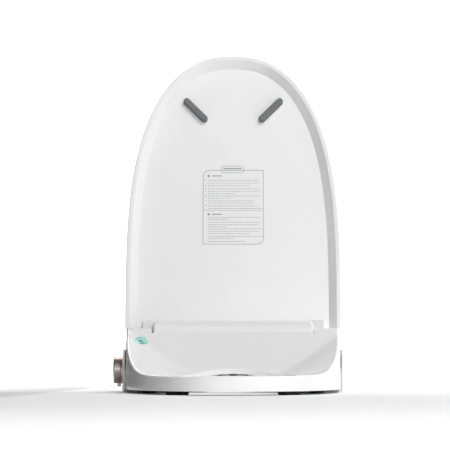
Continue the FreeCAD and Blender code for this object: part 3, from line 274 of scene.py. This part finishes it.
def add_label_print():
    """Frame with two rounded corners, a title tab, a divider, dots and rows of dashes; no lettering."""
    bold = Print(lid_point, LABEL_FACE - INK_SUNK, LABEL_FACE + 0.04)
    half = LABEL_HALF - LABEL_EDGE
    low = LABEL_LOW + LABEL_EDGE
    high = LABEL_HIGH - LABEL_EDGE
    outer = rounded_outline(-half, low, half, high, LABEL_CORNERS)
    inner_radii = tuple(max(radius - LINE, 0.1) for radius in LABEL_CORNERS)
    inner = rounded_outline(-half + LINE, low + LINE, half - LINE, high - LINE, inner_radii)
    bold.add_ring(outer, inner)
    bold.dash(-52.6, 52.6, 228.6, 0.5, 0.1)
    for along in (291.0, 221.5):
        bold.dot(-43.5, along, 2.0)
        bold.dash(-37.5, -20.0, along, 1.5)
    for along in (282.7, 273.0, 267.5, 254.8, 246.0, 237.3):
        bold.dot(-49.0, along, 0.85)
    tab = rounded_outline(-20.6, 296.6, 18.6, 309.2, (3.2,) * 4)
    tab_inner = rounded_outline(-20.0, 297.2, 18.0, 308.6, (2.6,) * 4)
    bold.add_ring(tab, tab_inner)
    bold.dash(-17.0, 15.0, 304.2, 1.6)
    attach(bold.finish("lid_label_frame_print", MATERIALS["ink"]), "lid")

    fine = Print(lid_point, LABEL_FACE - INK_SUNK, LABEL_FACE + 0.03)
    for index, (along, right) in enumerate(ROWS):
        ruled_row(fine, along, ROW_LEFT, right, ROW_HEIGHT, FIRST_SEED + index)
    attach(fine.finish("lid_label_row_print", MATERIALS["ink_light"]), "lid")


def seat_mark_point(across, along, up):
    """Point over the round mark on the left shoulder, in mm from its centre, on the mark's own slope."""
    return tuple(MARK_CENTRE + MARK_RIGHT * (across * MM) + MARK_UP * (along * MM) + MARK_NORMAL * (up * MM))


def mark_frame():
    """Centre and directions of the mark, fitted to the top face of its CAD node."""
    mesh = frame["nodes"]["seat_mark"].data
    normal = Vector((0, 0, 0))
    centre = Vector((0, 0, 0))
    area = 0.0
    for face in mesh.polygons:
        if face.normal.z > 0.5:
            normal += face.normal * face.area
            centre += face.center * face.area
            area += face.area
    normal.normalize()
    right = Vector((0, 1, 0)).cross(normal)
    right.normalize()
    return centre / area, right, normal.cross(right), normal


MARK_CENTRE, MARK_RIGHT, MARK_UP, MARK_NORMAL = mark_frame()


def add_seat_mark_print():
    """A thin ring, a leaf, a dot and a short dash on the round mark."""
    ink = Print(seat_mark_point, -0.3, 0.32)
    turn = [math.radians(7.5 * i) for i in range(48)]

    def circle(radius):
        return [(radius * math.cos(a), radius * math.sin(a)) for a in turn]

    ink.add_ring(circle(9.9), circle(9.1))
    leaf = []
    for i in range(25):
        share = i / 24
        leaf.append((-5.5 + 9.0 * share, -1.0 + 3.4 * math.sin(math.pi * share)))
    for i in range(1, 24):
        share = 1 - i / 24
        leaf.append((-5.5 + 9.0 * share, -1.0 - 1.2 * math.sin(math.pi * share)))
    ink.add(list(reversed(leaf)))
    ink.dot(4.9, 4.6, 1.3)
    ink.dash(-3.0, 4.5, -5.6, 0.8)
    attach(ink.finish("seat_mark_print", MATERIALS["teal"]), "seat")


# ------------------------------------------------------------------ stage, light, camera
# the surrounding light: (place from left 0 to right 1, strength), then the strength of the whole
WORLD_STOPS = ((0.25, 0.0), (1.0, 0.36))
WORLD_STRENGTH = 2.1


def add_stage():
    """White floor that sweeps up into the backdrop."""
    half = 6.0
    front = -7.0
    back = 3.2
    bend = 1.2
    steps = 16
    profile = [(front, 0.0), (back - bend, 0.0)]
    for step in range(1, steps + 1):
        angle = math.pi / 2 * step / steps
        profile.append((back - bend + bend * math.sin(angle), bend - bend * math.cos(angle)))
    profile.append((back, 6.0))
    verts = []
    for along, up in profile:
        verts += [(-half, along, up), (half, along, up)]
    faces = [(2 * i, 2 * i + 1, 2 * i + 3, 2 * i + 2) for i in range(len(profile) - 1)]
    mesh = bpy.data.meshes.new("sweep")
    mesh.from_pydata(verts, [], faces)
    for face in mesh.polygons:
        face.use_smooth = True
    sweep = bpy.data.objects.new("sweep", mesh)
    bpy.context.collection.objects.link(sweep)
    shade = Shade("sweep", (0.93, 0.93, 0.93), 0.9)
    shade.vary_color(shade.noise(0.6, 1.0), (0.93, 0.93, 0.93), (0.92, 0.92, 0.925))
    mesh.materials.append(shade.material)


def area_light(name, place, target, size, power, color=(1, 1, 1)):
    data = bpy.data.lights.new(name, "AREA")
    data.shape = "RECTANGLE"
    data.size, data.size_y = size
    data.energy = power
    data.color = color
    lamp = bpy.data.objects.new(name, data)
    lamp.location = place
    lamp.rotation_euler = (Vector(target) - Vector(place)).to_track_quat("-Z", "Y").to_euler()
    bpy.context.collection.objects.link(lamp)
    return lamp


def add_lights():
    """Broad soft light from the front right, a darker side on the left, and a bright backdrop."""
    scene = bpy.context.scene
    scene.view_settings.view_transform = "Standard"
    world = scene.world or bpy.data.worlds.new("world")
    scene.world = world
    world.use_nodes = True
    tree = world.node_tree
    coords = tree.nodes.new("ShaderNodeTexCoord").outputs["Generated"]
    split = tree.nodes.new("ShaderNodeSeparateXYZ")
    tree.links.new(coords, split.inputs["Vector"])
    spread = tree.nodes.new("ShaderNodeMapRange")
    spread.inputs["From Min"].default_value = -1.0
    tree.links.new(split.outputs["X"], spread.inputs["Value"])
    ramp = tree.nodes.new("ShaderNodeValToRGB")
    ramp.color_ramp.interpolation = "EASE"
    for stop, (place, strength) in zip(ramp.color_ramp.elements, WORLD_STOPS):
        stop.position = place
        stop.color = (strength, strength, strength, 1)
    tree.links.new(spread.outputs["Result"], ramp.inputs["Fac"])
    background = tree.nodes["Background"]
    tree.links.new(ramp.outputs["Color"], background.inputs["Color"])
    background.inputs["Strength"].default_value = WORLD_STRENGTH
    area_light("key", (1.2, -3.0, 2.6), (0, -0.1, 0.2), (1.4, 1.4), 62)
    area_light("front_fill", (0.5, -4.2, 0.9), (0, 0.0, 0.25), (1.2, 0.8), 44)
    area_light("backdrop_light", (0.0, 1.4, 2.6), (0, 3.2, 0.8), (4.5, 1.0), 150)


def add_flag():
    """Slanted black card on the left, which only gives the glossy white its dark left edge."""
    verts = [(-0.34, -1.3, 0.004), (-0.26, 1.2, 0.004), (-0.32, 1.2, 0.30), (-0.40, -1.3, 0.30)]
    mesh = bpy.data.meshes.new("flag")
    mesh.from_pydata(verts, [], [(0, 1, 2, 3)])
    flag = bpy.data.objects.new("flag", mesh)
    bpy.context.collection.objects.link(flag)
    shade = Shade("flag", (0.02, 0.02, 0.02), 0.9)
    shade.vary_color(shade.noise(5.0, 1.0), (0.02, 0.02, 0.02), (0.015, 0.015, 0.015))
    mesh.materials.append(shade.material)
    flag.visible_camera = False
    flag.visible_shadow = False


def add_camera():
    """Long lens, just above the rim plane, square to the open lid."""
    camera = bpy.data.cameras.new("camera")
    camera.sensor_width = 36.0
    distance = 3.5
    width_seen = 0.776
    camera.lens = camera.sensor_width * distance / width_seen
    holder = bpy.data.objects.new("camera", camera)
    holder.location = (0.0, -distance, 0.046)
    target = Vector((-0.0143, 0.0, 0.287))
    holder.rotation_euler = (target - holder.location).to_track_quat("-Z", "Y").to_euler()
    bpy.context.collection.objects.link(holder)
    bpy.context.scene.camera = holder


dress_cad_nodes()
add_label_print()
add_seat_mark_print()
add_stage()
add_lights()
add_flag()
add_camera()
